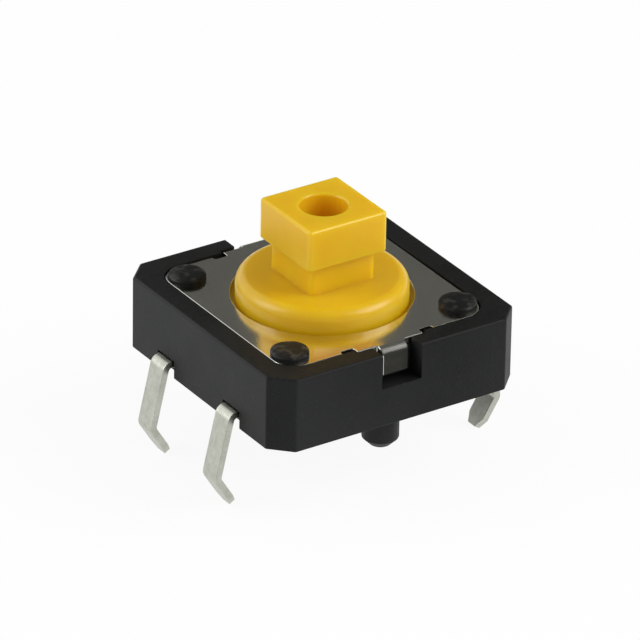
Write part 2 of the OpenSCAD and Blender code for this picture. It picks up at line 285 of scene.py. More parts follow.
class Wire:
    """A node's socket that takes part in Python expressions."""

    def __init__(self, tree, socket):
        self.tree = tree
        self.socket = socket

    def maths(self, operation, *values):
        return self.tree.node("ShaderNodeMath", {"operation": operation}, dict(enumerate(values)))[0]

    def __add__(self, other):
        return self.maths("ADD", self, other)

    def __sub__(self, other):
        return self.maths("SUBTRACT", self, other)

    def __rsub__(self, other):
        return self.maths("SUBTRACT", other, self)

    def __mul__(self, other):
        return self.maths("MULTIPLY", self, other)

    def __truediv__(self, other):
        return self.maths("DIVIDE", self, other)

    def __rtruediv__(self, other):
        return self.maths("DIVIDE", other, self)

    def __pow__(self, other):
        return self.maths("POWER", self, other)

    def __rpow__(self, other):
        return self.maths("POWER", other, self)

    def __gt__(self, other):
        return self.maths("GREATER_THAN", self, other)

    __radd__ = __add__
    __rmul__ = __mul__


class Tree:
    """A node tree, of a material, a world or Geometry Nodes, that is built in code."""

    def __init__(self, tree):
        self.tree = tree

    def node(self, kind, settings=None, values=None):
        """New node of a type, with its settings, and then the values or links of its sockets."""
        made = self.tree.nodes.new(kind)
        for name, value in (settings or {}).items():
            setattr(made, name, value)
        for name, value in (values or {}).items():
            self.join(value, made.inputs[name])
        return Made(self, made)

    def join(self, value, socket):
        if isinstance(value, Wire):
            self.tree.links.new(value.socket, socket)
        else:
            socket.default_value = value

    def scaled(self, vector, by):
        return self.node("ShaderNodeVectorMath", {"operation": "MULTIPLY"}, {0: vector, 1: by})[0]

    def mixed(self, share, a, b):
        made = self.node("ShaderNodeMix", {"data_type": "RGBA"}, {0: share, 6: a, 7: b})
        return Wire(self, made.made.outputs[2])

    def noise(self, place, scale, detail=2.0, roughness=0.5):
        return self.node("ShaderNodeTexNoise", {},
                         {"Vector": place, "Scale": scale, "Detail": detail, "Roughness": roughness})[0]

    def spread(self, value, low, high, to_low=0.0, to_high=1.0):
        return self.node("ShaderNodeMapRange", {},
                         {"Value": value, "From Min": low, "From Max": high,
                          "To Min": to_low, "To Max": to_high})[0]


class Made:
    """A node that was made: its outputs, by place or by name, as wires."""

    def __init__(self, tree, made):
        self.tree = tree
        self.made = made

    def __getitem__(self, key):
        return Wire(self.tree, self.made.outputs[key])


def linear(r, g, b):
    """Colour of a shader socket for an sRGB colour in steps of 0 to 255."""
    parts = [v / 255 for v in (r, g, b)]
    return tuple(v / 12.92 if v <= 0.04045 else ((v + 0.055) / 1.055) ** 2.4 for v in parts) + (1,)


def blank_tree(holder):
    """Emptied node tree of a material or a world."""
    holder.use_nodes = True
    holder.node_tree.nodes.clear()
    return Tree(holder.node_tree)


def finish_of(name):
    """New material: its tree, its shader's sockets, and the place on the piece in millimetres."""
    material = bpy.data.materials.new(name)
    tree = blank_tree(material)
    shader = tree.node("ShaderNodeBsdfPrincipled")
    output = tree.node("ShaderNodeOutputMaterial")
    tree.join(Wire(tree, shader.made.outputs[0]), output.made.inputs[0])
    place = tree.scaled(tree.node("ShaderNodeTexCoord")["Object"], (1 / MM, 1 / MM, 1 / MM))
    return material, tree, shader.made.inputs, place


def black_moulding():
    """Glass-filled plastic: a fine even grain, faint cloudy patches and short paler fibres. The tops of
    the melted heads over the base are mottled shinier, and paler there as a painted highlight."""
    fibre_share = 0.35
    painted_highlight_share = 0.6
    grain_roughness = 0.08
    melted_shine = 0.16
    head_start = BASE_H + 0.02
    head_whole = BASE_H + 0.12
    material, tree, sockets, place = finish_of("black_moulding")
    grain = tree.noise(place, scale=9.0, detail=4.0, roughness=0.6)
    clouds = tree.noise(place, scale=0.55, detail=3.0, roughness=0.55)
    fibres = tree.noise(tree.scaled(place, (3.0, 22.0, 22.0)), scale=1.0, detail=1.0)
    fibre = tree.spread(fibres, low=0.66, high=0.74)
    mottles = tree.spread(tree.noise(place, scale=2.2), low=0.5, high=0.62)
    height = tree.node("ShaderNodeSeparateXYZ", {}, {0: place})[2]
    # Mask of the heads' tops: their lower roughness is real shine, their paler colour is a painted
    # highlight
    melted = tree.spread(height, low=head_start, high=head_whole) * mottles
    colour = tree.mixed(tree.spread(clouds, low=0.3, high=0.7), linear(16, 18, 17), linear(22, 24, 23))
    colour = tree.mixed(fibre * fibre_share, colour, linear(58, 60, 58))
    # Painted highlight: paler colour in mottles on the tops of the post heads
    colour = tree.mixed(melted * painted_highlight_share, colour, linear(66, 64, 60))
    tree.join(colour, sockets["Base Color"])
    rough = tree.spread(clouds, low=0.3, high=0.7, to_low=0.46, to_high=0.54)
    rough = rough + grain * grain_roughness - melted * melted_shine
    tree.join(rough, sockets["Roughness"])
    bump = tree.node("ShaderNodeBump", {}, {"Height": grain, "Strength": 0.5, "Distance": 0.02 * MM})
    tree.join(bump[0], sockets["Normal"])
    sockets["Specular IOR Level"].default_value = 0.3
    return material


BLACK = black_moulding()

foot_rings = [(FOOT_EDGE_R * (1 - sin(radians(t))), FOOT_EDGE_R * (1 - cos(radians(t))))
              for t in (0, 30, 60)]
top_rings = [(TOP_EDGE_R * (1 - cos(radians(t))), BASE_H - TOP_EDGE_R * (1 - sin(radians(t))))
             for t in (0, 18, 36, 54, 72, 90)]
body_rings = [level(octagon(inset), z) for inset, z in foot_rings]
body_rings.append(level(octagon(0), FOOT_EDGE_R))
body_rings += [level(octagon(inset), z) for inset, z in top_rings]
base = solid(loft(body_rings))


def pocket_outline():
    """Cover pocket: a square with round corners and a bay for each ear."""
    centre = POCKET_HALF - POCKET_CORNER_R
    quarter = arc(centre, centre, POCKET_CORNER_R, 0, 90, CORNER_STEPS)
    ear = [(EAR_POCKET_HALF, POCKET_HALF), (EAR_POCKET_HALF, EAR_POCKET_Y)]
    upper = quarter + ear + [(-x, y) for x, y in reversed(quarter + ear)]
    return upper + [(-x, -y) for x, y in upper]


combine(base, "DIFFERENCE",
        block(pocket_outline(), SEAT_Z, BASE_H + PAST),
        block(keyed_circle(WELL_R, WELL_SLOT_R, WELL_SLOT_HALF), FLOOR_Z, SEAT_Z + PAST))
for side in (-1, 1):
    y0, y1 = sorted((side * WINDOW_BACK, side * (HALF_W + PAST)))
    window = rectangle(-WINDOW_HALF, y0, WINDOW_HALF, y1)
    combine(base, "DIFFERENCE", block(window, WINDOW_SILL, BASE_H + PAST))
    for across in (-1, 1):
        x0, x1 = sorted((side * NOTCH_X, side * (HALF_W + PAST)))
        notch = rectangle(x0, across * LEAD_Y - NOTCH_HALF, x1, across * LEAD_Y + NOTCH_HALF)
        pin = circle(HOLD_PIN_R, side * HOLD_PIN_X, across * LEAD_Y, SMALL_STEPS)
        combine(base, "DIFFERENCE", block(notch, -PAST, NOTCH_TOP), block(pin, -PAST, METAL_MID))
    boss_profile = [(BOSS_R - BOSS_CUT, -BOSS_LEN), (BOSS_R, BOSS_CUT - BOSS_LEN),
                    (BOSS_R, METAL_BOTTOM / 2)]
    combine(base, "UNION", lathe(boss_profile, 0, side * BOSS_Y, BOSS_STEPS))
outer_bumps = [(BUMP_RING_R * cos(radians(a)), BUMP_RING_R * sin(radians(a))) for a in BUMP_ANGLES]
for x, y in [(0, 0)] + outer_bumps:
    opening = circle(CONTACT_WINDOW_R, x, y, SMALL_STEPS)
    combine(base, "DIFFERENCE", block(opening, METAL_MID, FLOOR_Z + PAST))
soften(base, MOULDED_EDGE)


def recipe(name, sizes):
    """New Geometry Nodes tree that grows pieces from places, and the node that holds its inputs."""
    group = bpy.data.node_groups.new(name, "GeometryNodeTree")
    interface = group.interface
    interface.new_socket(name="Places", in_out="INPUT", socket_type="NodeSocketGeometry")
    for size in sizes:
        interface.new_socket(name=size, in_out="INPUT", socket_type="NodeSocketFloat")
    interface.new_socket(name="Finish", in_out="INPUT", socket_type="NodeSocketMaterial")
    interface.new_socket(name="Result", in_out="OUTPUT", socket_type="NodeSocketGeometry")
    tree = Tree(group)
    return tree, tree.node("NodeGroupInput")


def end_recipe(tree, given, geometry):
    """Makes copies real, gives them their material and passes them out."""
    real = tree.node("GeometryNodeRealizeInstances", {}, {0: geometry})
    done = tree.node("GeometryNodeSetMaterial", {}, {"Geometry": real[0], "Material": given["Finish"]})
    output = tree.node("NodeGroupOutput")
    tree.join(done[0], output.made.inputs[0])


def grow(tree, places, values):
    """Runs a recipe on a mesh of places, and gives the plain mesh that comes out."""
    host = solid(places)
    step = host.modifiers.new("recipe", "NODES")
    step.node_group = tree.tree
    for item in tree.tree.interface.items_tree:
        if item.in_out == "INPUT" and item.name in values:
            step[item.identifier] = values[item.name]
    mesh = settle(host).data
    bpy.data.objects.remove(host)
    return mesh


def post_recipe():
    """Post with a melted head: a squared-off ellipsoid with a flat foot, a little wavy as melted
    plastic is."""
    wave_start = 0.05
    noise_mean = 0.5
    tree, given = recipe("melted posts", ["Shank radius", "Shank foot", "Head foot", "Head radius",
                                          "Head height", "Squareness", "Waviness"])
    ball = tree.node("GeometryNodeMeshUVSphere", {}, {"Segments": 48, "Rings": 32, "Radius": 1.0})
    at = tree.node("ShaderNodeSeparateXYZ", {}, {0: tree.node("GeometryNodeInputPosition")[0]})
    x, y, z = (at[k] for k in range(3))
    power = given["Squareness"]
    across = (x * x + y * y) ** 0.5
    size = (across ** power + z.maths("ABSOLUTE", z) ** power) ** (-1 / power)
    lift = z * size * given["Head height"]
    lift = lift.maths("MAXIMUM", lift, 0.0)
    shaped = tree.node("ShaderNodeCombineXYZ", {}, {0: x * size * given["Head radius"],
                                                    1: y * size * given["Head radius"],
                                                    2: lift + given["Head foot"]})
    head = tree.node("GeometryNodeSetPosition", {}, {"Geometry": ball[0], "Position": shaped[0]})
    shank_h = given["Head foot"] - given["Shank foot"] + given["Head height"] * SHANK_IN_HEAD
    shank = tree.node("GeometryNodeMeshCylinder", {}, {"Vertices": 48, "Radius": given["Shank radius"],
                                                       "Depth": shank_h})
    raised = tree.node("ShaderNodeCombineXYZ", {}, {2: given["Shank foot"] + shank_h / 2})
    shank = tree.node("GeometryNodeTransform", {}, {"Geometry": shank[0], "Translation": raised[0]})
    post = tree.node("GeometryNodeMeshBoolean", {"operation": "UNION", "solver": "EXACT"})
    for part in (head[0], shank[0]):
        tree.join(part, post.made.inputs["Mesh 2"])
    posts = tree.node("GeometryNodeInstanceOnPoints", {},
                      {"Points": given["Places"], "Instance": post[0]})
    real = tree.node("GeometryNodeRealizeInstances", {}, {0: posts[0]})
    height = tree.node("ShaderNodeSeparateXYZ", {}, {0: tree.node("GeometryNodeInputPosition")[0]})[2]
    on_head = height > given["Head foot"] + wave_start
    wave = tree.noise(tree.node("GeometryNodeInputPosition")[0], scale=1.4, detail=1.0) - noise_mean
    wave_height = wave * on_head * given["Waviness"]
    outward = tree.node("ShaderNodeVectorMath", {"operation": "SCALE"},
                        {0: tree.node("GeometryNodeInputNormal")[0], "Scale": wave_height})
    wavy = tree.node("GeometryNodeSetPosition", {}, {"Geometry": real[0], "Offset": outward[0]})
    end_recipe(tree, given, wavy[0])
    return tree


def places_mesh(points, edges=(), **marks):
    """Mesh of bare points and the lines between them, with a number for each point under each name."""
    mesh = bpy.data.meshes.new("places")
    mesh.from_pydata(points, list(edges), [])
    for name, numbers in marks.items():
        mesh.attributes.new(name, "FLOAT", "POINT").data.foreach_set("value", numbers)
    return mesh


post_places = [(sx * POST_X, sy * POST_Y, 0) for sx in (-1, 1) for sy in (-1, 1)]
posts = grow(post_recipe(), places_mesh(post_places),
             {"Shank radius": POST_R, "Shank foot": SEAT_Z - COVER_T, "Head foot": COVER_TOP,
              "Head radius": POST_HEAD_R, "Head height": POST_HEAD_H, "Squareness": 6.0,
              "Waviness": 0.06, "Finish": BLACK})
ring_section = rectangle(DOME_RING[0], FLOOR_Z - RING_ROOT, DOME_RING[1], DOME_RING_TOP)
turns = [2 * pi * k / ROUND_STEPS for k in range(ROUND_STEPS)]
dome_ring = loft([[(r * cos(a), r * sin(a), z) for r, z in ring_section] for a in turns], closed=True)
combine(base, "UNION", posts, dome_ring, solver="MANIFOLD")
hand_over(base, "moulded_base", BLACK)
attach(base, "housing")
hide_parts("base")

# Cover
# Stamped from bright steel sheet, with a round hole for the plunger, a hole for each post and two ears.
# From each ear a tab is bent down into a window in the wall, between two small relief cuts.
COVER_GAP = 0.05
COVER_HALF = POCKET_HALF - COVER_GAP
COVER_CORNER_R = 1.0
COVER_HOLE_R = 3.8
POST_GAP = 0.06
POST_HOLE_R = POST_R + POST_GAP
EAR_GAP = 0.1
EAR_HALF = EAR_POCKET_HALF - EAR_GAP
EAR_Y = EAR_POCKET_Y - EAR_GAP
RELIEF_OUT = 2.2
RELIEF_DEPTH = 0.2
TAB_SIDE_GAP = 0.33
TAB_HALF = WINDOW_HALF - TAB_SIDE_GAP
TAB_SILL_GAP = 0.3
TAB_END_Z = WINDOW_SILL + TAB_SILL_GAP
TAB_BEND_R = 0.1
TAB_BEND_STEPS = 12
STAMPED_EDGE = 0.05


def cover_outline():
    """Edge of the sheet: round corners, an ear on each side across Y, and a relief cut on each side
    of an ear."""
    centre = COVER_HALF - COVER_CORNER_R
    relief_y = COVER_HALF - RELIEF_DEPTH
    quarter = arc(centre, centre, COVER_CORNER_R, 0, 90, CORNER_STEPS)
    quarter += [(RELIEF_OUT, COVER_HALF), (RELIEF_OUT, relief_y), (EAR_HALF, relief_y), (EAR_HALF, EAR_Y)]
    upper = quarter + [(-x, y) for x, y in reversed(quarter)]
    return upper + [(-x, -y) for x, y in upper]


def tab(side):
    """Strip that starts inside the ear, turns down and ends in the window."""
    centre_z = SEAT_Z - TAB_BEND_R
    section = [((EAR_Y - COVER_T, SEAT_Z), (EAR_Y - COVER_T, COVER_TOP))]
    for k in range(TAB_BEND_STEPS + 1):
        a = radians(90 - 90 * k / TAB_BEND_STEPS)
        section.append(tuple((EAR_Y + r * cos(a), centre_z + r * sin(a))
                             for r in (TAB_BEND_R, TAB_BEND_R + COVER_T)))
    section.append(((EAR_Y + TAB_BEND_R, TAB_END_Z), (EAR_Y + TAB_BEND_R + COVER_T, TAB_END_Z)))
    return loft([[(-TAB_HALF, side * inner[0], inner[1]), (TAB_HALF, side * inner[0], inner[1]),
                  (TAB_HALF, side * outer[0], outer[1]), (-TAB_HALF, side * outer[0], outer[1])]
                 for inner, outer in section])


def cover_steel():
    """Bright rolled steel: long fine rolling lines, a few faint scratches and a slight cloudiness."""
    polish = 0.08
    line_roughness = 0.08
    cloud_roughness = 0.06
    scratch_roughness = 0.06
    scratch_share = 0.3
    material, tree, sockets, place = finish_of("cover_steel")
    lines = tree.noise(tree.scaled(place, (0.6, 26.0, 1.0)), scale=1.0, detail=3.0, roughness=0.65)
    clouds = tree.noise(place, scale=0.45)
    scratches = tree.noise(tree.scaled(place, (7.0, 0.5, 1.0)), scale=1.6, detail=1.0)
    scratch = tree.spread(scratches, low=0.70, high=0.73)
    colour = tree.mixed(clouds, linear(226, 225, 216), linear(236, 235, 227))
    colour = tree.mixed(scratch * scratch_share, colour, linear(190, 190, 184))
    tree.join(colour, sockets["Base Color"])
    rough = lines * line_roughness + clouds * cloud_roughness + polish + scratch * scratch_roughness
    tree.join(rough, sockets["Roughness"])
    bump = tree.node("ShaderNodeBump", {}, {"Height": lines, "Strength": 0.35, "Distance": 0.004 * MM})
    tree.join(bump[0], sockets["Normal"])
    sockets["Metallic"].default_value = 1.0
    return material


cover = solid(block(cover_outline(), SEAT_Z, COVER_TOP))
combine(cover, "UNION", tab(-1), tab(1))
combine(cover, "DIFFERENCE", block(circle(COVER_HOLE_R), SEAT_Z - PAST, COVER_TOP + PAST))
for x, y, _ in post_places:
    post_hole = circle(POST_HOLE_R, x, y, SMALL_STEPS)
    combine(cover, "DIFFERENCE", block(post_hole, SEAT_Z - PAST, COVER_TOP + PAST))
soften(cover, STAMPED_EDGE, segments=3)
hand_over(cover, "steel_cover", cover_steel())
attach(cover, "housing")
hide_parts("cover")

# Plunger
# One moulding in yellow plastic: a square head with a blind hole for a key cap, a square neck, a round
# disc with a soft edge, and below the cover a flange with a skirt, two keys, and a ribbed hub.
SLIDE_GAP = 0.1
REST_GAP = 0.02
HEAD_HALF = 1.9
HEAD_TOP = 7.3
HEAD_CORNER_R = 0.16
HEAD_TOP_R = 0.14
NECK_HALF = 1.55
NECK_TOP = 5.5
NECK_IN_HEAD = 0.3
HOLE_R = 1.0
HOLE_DEPTH = 2.6
HOLE_MOUTH_R = 0.12
HOLE_FLOOR_R = 0.15
HOLE_FLOOR_START = -80
DISC_GAP = 0.2
DISC_R = COVER_HOLE_R - DISC_GAP
DISC_TOP = 4.15
DISC_EDGE_R = 0.5
FLANGE_R = WELL_R - SLIDE_GAP
FLANGE_TOP = SEAT_Z - REST_GAP
SKIRT_H = 1.4
SKIRT_Z = FLANGE_TOP - SKIRT_H
KEY_R = WELL_SLOT_R - SLIDE_GAP
KEY_HALF = WELL_SLOT_HALF - SLIDE_GAP
HOLLOW_R = 2.9
HOLLOW_TOP = 3.2
ROOT_Z = (HOLLOW_TOP + DISC_TOP) / 2
HUB_R = 0.75
HUB_Z = 1.45
RIB_HALF = 0.3
RIB_REACH = (HOLLOW_R + DISC_R) / 2
RIB_Z = 2.2
RIB_SLANTS = (45, 135)
PLUNGER_EDGE = 0.05
EDGE_STEPS = 6
DISC_EDGE_STEPS = 10
HOLE_FLOOR_STEPS = 4


def round_square(half, r):
    """Square outline with round corners."""
    signs = ((1, 1, 0), (-1, 1, 90), (-1, -1, 180), (1, -1, 270))
    return [p for sx, sy, start in signs
            for p in arc(sx * (half - r), sy * (half - r), r, start, start + 90, EDGE_STEPS)]


def yellow_moulding():
    """Acetal-like plastic: waxy and a little translucent, with faint clouds and a soft fine grain."""
    polish = 0.24
    grain_roughness = 0.10
    cloud_roughness = 0.06
    material, tree, sockets, place = finish_of("yellow_moulding")
    clouds = tree.noise(place, scale=0.5, detail=3.0)
    grain = tree.noise(place, scale=14.0, detail=3.0, roughness=0.6)
    shade = tree.spread(clouds, low=0.3, high=0.7)
    tree.join(tree.mixed(shade, linear(222, 178, 14), linear(228, 186, 24)), sockets["Base Color"])
    tree.join(grain * grain_roughness + clouds * cloud_roughness + polish, sockets["Roughness"])
    bump = tree.node("ShaderNodeBump", {}, {"Height": grain, "Strength": 0.35, "Distance": 0.006 * MM})
    tree.join(bump[0], sockets["Normal"])
    sockets["Subsurface Weight"].default_value = 0.7
    sockets["Subsurface Radius"].default_value = (1.0, 0.6, 0.1)
    sockets["Subsurface Scale"].default_value = 1.8 * MM
    return material


head_rings = [level(round_square(HEAD_HALF, HEAD_CORNER_R), NECK_TOP)]
for k in range(EDGE_STEPS + 1):
    t = radians(90 * k / EDGE_STEPS)
    inset = HEAD_TOP_R * (1 - cos(t))
    outline = round_square(HEAD_HALF - inset, HEAD_CORNER_R - inset)
    head_rings.append(level(outline, HEAD_TOP - HEAD_TOP_R * (1 - sin(t))))
disc_profile = [(FLANGE_R, SKIRT_Z), (FLANGE_R, FLANGE_TOP), (DISC_R, FLANGE_TOP)]
disc_profile += arc(DISC_R - DISC_EDGE_R, DISC_TOP - DISC_EDGE_R, DISC_EDGE_R, 0, 90, DISC_EDGE_STEPS)
hole_z = HEAD_TOP - HOLE_DEPTH
hole_profile = arc(HOLE_R - HOLE_FLOOR_R, hole_z + HOLE_FLOOR_R, HOLE_FLOOR_R,
                   HOLE_FLOOR_START, 0, HOLE_FLOOR_STEPS)
hole_profile += arc(HOLE_R + HOLE_MOUTH_R, HEAD_TOP - HOLE_MOUTH_R, HOLE_MOUTH_R, 180, 90, EDGE_STEPS)
hole_profile.append((HOLE_R + HOLE_MOUTH_R, HEAD_TOP + PAST))

plunger = solid(loft(head_rings))
neck = block(round_square(NECK_HALF, HEAD_CORNER_R), DISC_TOP - DISC_EDGE_R, NECK_TOP + NECK_IN_HEAD)
keys = block(rectangle(-KEY_R, -KEY_HALF, KEY_R, KEY_HALF), SKIRT_Z, FLANGE_TOP)
combine(plunger, "UNION", neck, lathe(disc_profile), keys)
combine(plunger, "DIFFERENCE", lathe(hole_profile), block(circle(HOLLOW_R), SKIRT_Z - PAST, HOLLOW_TOP))
combine(plunger, "UNION", block(circle(HUB_R, steps=SMALL_STEPS), HUB_Z, ROOT_Z))
for slant in RIB_SLANTS:
    rib = block(rectangle(-RIB_REACH, -RIB_HALF, RIB_REACH, RIB_HALF), RIB_Z, ROOT_Z)
    rib.transform(Matrix.Rotation(radians(slant), 4, "Z"))
    combine(plunger, "UNION", rib)
soften(plunger, PLUNGER_EDGE)
hand_over(plunger, "square_plunger", yellow_moulding())
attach(plunger, "button")
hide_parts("plunger")

# Snap dome
# A shallow round cap pressed from thin spring steel. It lies loose in its ring, over the outer
# contacts. When its crown is pushed in, it closes onto the centre contact and pushes the plunger back.
DOME_GAP = 0.1
DOME_R = DOME_RING[0] - DOME_GAP
DOME_RIM = 0.3
DOME_T = 0.1
DOME_Z = OUTER_BUMP_TOP + REST_GAP
DOME_RISE = HUB_Z - REST_GAP - DOME_T - DOME_Z
DOME_CENTRE_R = 0.02
DOME_STEPS = 20
DOME_EDGE = 0.015


def dome_steel():
    """Thin spring steel: satin, with fine rings from the forming tool."""
    polish = 0.24
    cloud_roughness = 0.1
    ring_roughness = 0.03
    ring_pitch = 60.0
    material, tree, sockets, place = finish_of("dome_steel")
    flat = tree.scaled(place, (1.0, 1.0, 0.0))
    away = tree.node("ShaderNodeVectorMath", {"operation": "LENGTH"}, {0: flat})["Value"]
    rings = away.maths("SINE", away * ring_pitch)
    clouds = tree.noise(place, scale=1.2)
    tree.join(tree.mixed(clouds, linear(190, 190, 184), linear(206, 206, 199)), sockets["Base Color"])
    tree.join(clouds * cloud_roughness + rings * ring_roughness + polish, sockets["Roughness"])
    bump = tree.node("ShaderNodeBump", {}, {"Height": rings, "Strength": 0.3, "Distance": 0.001 * MM})
    tree.join(bump[0], sockets["Normal"])
    sockets["Metallic"].default_value = 1.0
    return material


cap_r = DOME_R - DOME_RIM
ball_r = (cap_r ** 2 + DOME_RISE ** 2) / (2 * DOME_RISE)
radii = [DOME_CENTRE_R + (cap_r - DOME_CENTRE_R) * k / DOME_STEPS for k in range(DOME_STEPS + 1)]
under = [(r, DOME_Z + DOME_RISE - ball_r + sqrt(ball_r ** 2 - r ** 2)) for r in radii]
under.append((DOME_R, DOME_Z))
dome = solid(lathe(under + [(r, z + DOME_T) for r, z in reversed(under)]))
soften(dome, DOME_EDGE)
hand_over(dome, "click_dome", dome_steel())
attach(dome, "housing")
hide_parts("snap_dome")
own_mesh(dome)

# Contact frames
# Two strips of tinned copper alloy that the base is moulded round. Each ends in two leads, bent down
# at the walls and kinked so that they spring into the board. Bumps are pressed up under the dome.
NOTCH_GAP = 0.12
LEAD_W = 2 * (NOTCH_HALF - NOTCH_GAP)
LEAD_EDGE_R = 0.03
LEAD_RUN = 0.4
LEAD_BEND_R = 0.15
LEAD_SPLAY = radians(13)
LEAD_SHANK = 2.5
LEAD_KINK_R = 0.2
LEAD_KINK = radians(45)
LEAD_TIP = 1.45
TIP_CUT = 0.45
TIP_SHARE = 0.5
ARM_SHARE = 0.8
PAD_R = 0.55
BUMP_R = 0.4
CENTRE_BUMP_TOP = 1.03
LEAD_END_EDGE = 0.02
LEAD_END_ANGLE = 50


def contact_metal():
    """Matt tin plate: pale and slightly mottled, with drag marks along the strip."""
    polish = 0.24
    mottle_roughness = 0.14
    drag_roughness = 0.10
    mottle_share = 0.6
    drag_share = 0.4
    material, tree, sockets, place = finish_of("contact_metal")
    mottle = tree.noise(place, scale=3.2, detail=3.0, roughness=0.6)
    drag = tree.noise(tree.scaled(place, (1.0, 18.0, 1.0)), scale=1.0, detail=3.0, roughness=0.6)
    shade = tree.spread(mottle * mottle_share + drag * drag_share, low=0.35, high=0.65)
    tree.join(tree.mixed(shade, linear(174, 176, 165), linear(198, 199, 188)), sockets["Base Color"])
    tree.join(mottle * mottle_roughness + drag * drag_roughness + polish, sockets["Roughness"])
    bump = tree.node("ShaderNodeBump", {},
                     {"Height": drag + mottle, "Strength": 0.4, "Distance": 0.008 * MM})
    tree.join(bump[0], sockets["Normal"])
    sockets["Metallic"].default_value = 1.0
    return material


def frame_recipe():
    """Flat strip swept along lines, with a round pad and a pressed bump at each marked point."""
    tree, given = recipe("contact frame", ["Width", "Thickness", "Edge radius", "Pad radius",
                                           "Bump radius"])

    def mark(name):
        return tree.node("GeometryNodeInputNamedAttribute", {"data_type": "FLOAT"}, {"Name": name})[0]

    paths = tree.node("GeometryNodeMeshToCurve", {}, {"Mesh": given["Places"]})
    bent = tree.node("GeometryNodeFilletCurve", {"mode": "POLY"},
                     {"Curve": paths[0], "Count": 8, "Radius": mark("bend_r"), "Limit Radius": True})
    kept = tree.node("GeometryNodeCaptureAttribute")
    kept.made.capture_items.new("VECTOR", "centre")
    kept.made.capture_items.new("VECTOR", "side")
    tree.join(bent[0], kept.made.inputs["Geometry"])
    tree.join(tree.node("GeometryNodeInputPosition")[0], kept.made.inputs["centre"])
    tree.join(tree.node("GeometryNodeInputNormal")[0], kept.made.inputs["side"])
    section = tree.node("GeometryNodeCurvePrimitiveQuadrilateral", {"mode": "RECTANGLE"},
                        {"Width": given["Width"], "Height": given["Thickness"]})
    section = tree.node("GeometryNodeFilletCurve", {"mode": "POLY"},
                        {"Curve": section[0], "Count": 4, "Radius": given["Edge radius"]})
    strip = tree.node("GeometryNodeCurveToMesh", {},
                      {"Curve": kept["Geometry"], "Profile Curve": section[0], "Fill Caps": True})
    away = tree.node("ShaderNodeVectorMath", {"operation": "SUBTRACT"},
                     {0: tree.node("GeometryNodeInputPosition")[0], 1: kept["centre"]})
    along_side = tree.node("ShaderNodeVectorMath", {"operation": "DOT_PRODUCT"},
                           {0: away[0], 1: kept["side"]})["Value"]
    pull = tree.node("ShaderNodeVectorMath", {"operation": "SCALE"},
                     {0: kept["side"], "Scale": along_side * (mark("share") - 1.0)})
    strip = tree.node("GeometryNodeSetPosition", {}, {"Geometry": strip[0], "Offset": pull[0]})
    has_pad = mark("bump_h") > 0.0
    pad = tree.node("GeometryNodeMeshCylinder", {}, {"Vertices": 48, "Radius": given["Pad radius"],
                                                     "Depth": given["Thickness"]})
    pads = tree.node("GeometryNodeInstanceOnPoints", {},
                     {"Points": given["Places"], "Selection": has_pad, "Instance": pad[0]})
    ball = tree.node("GeometryNodeMeshUVSphere", {}, {"Segments": 40, "Rings": 24, "Radius": 1.0})
    size = tree.node("ShaderNodeCombineXYZ", {}, {0: given["Bump radius"], 1: given["Bump radius"],
                                                  2: mark("bump_h")})
    bumps = tree.node("GeometryNodeInstanceOnPoints", {},
                      {"Points": given["Places"], "Selection": has_pad, "Instance": ball[0],
                       "Scale": size[0]})
    raised = tree.node("ShaderNodeCombineXYZ", {}, {2: given["Thickness"] / 2})
    bumps = tree.node("GeometryNodeSetPosition", {},
                      {"Geometry": tree.node("GeometryNodeRealizeInstances", {}, {0: bumps[0]})[0],
                       "Offset": raised[0]})
    whole = tree.node("GeometryNodeMeshBoolean", {"operation": "UNION", "solver": "EXACT"})
    for part in (strip[0], tree.node("GeometryNodeRealizeInstances", {}, {0: pads[0]})[0], bumps[0]):
        tree.join(part, whole.made.inputs["Mesh 2"])
    end_recipe(tree, given, whole[0])
    return tree


def lead_path():
    """Corners of one lead's middle line, from the wall to its tip: x, z, bend radius, width share."""
    half_t = METAL_T / 2
    bend_r = LEAD_BEND_R + half_t
    kink_r = LEAD_KINK_R + half_t
    turn_down = radians(90) - LEAD_SPLAY
    to_bend = bend_r * tan(turn_down / 2)
    to_kink = kink_r * tan(LEAD_KINK / 2)
    lean_in = LEAD_KINK - LEAD_SPLAY
    shank = to_bend + LEAD_SHANK + to_kink
    x_bend = NOTCH_X + to_bend + LEAD_RUN
    x_kink = x_bend + shank * sin(LEAD_SPLAY)
    z_kink = METAL_MID - shank * cos(LEAD_SPLAY)
    points = [(x_bend, METAL_MID, bend_r, 1.0), (x_kink, z_kink, kink_r, 1.0)]
    for reach, share in ((to_kink + LEAD_TIP - TIP_CUT, 1.0), (to_kink + LEAD_TIP, TIP_SHARE)):
        points.append((x_kink - reach * sin(lean_in), z_kink - reach * cos(lean_in), 0.0, share))
    return points


def frame_places(strip_y, pads):
    """Lines of one frame: the strip with a lead at each end, then an arm to each pad."""
    path = lead_path()
    strip = [(-x, strip_y, z, r, share, 0.0) for x, z, r, share in reversed(path)]
    strip += [(x, strip_y, z, r, share, 0.0) for x, z, r, share in path]
    edges = [(k, k + 1) for k in range(len(strip) - 1)]
    rows = strip
    for x, y, top in pads:
        first = len(rows)
        rows += [(x, strip_y, METAL_MID, 0.0, ARM_SHARE, 0.0),
                 (x, y, METAL_MID, 0.0, ARM_SHARE, top - METAL_TOP)]
        edges.append((first, first + 1))
    return places_mesh([row[:3] for row in rows], edges, bend_r=[row[3] for row in rows],
                       share=[row[4] for row in rows], bump_h=[row[5] for row in rows])


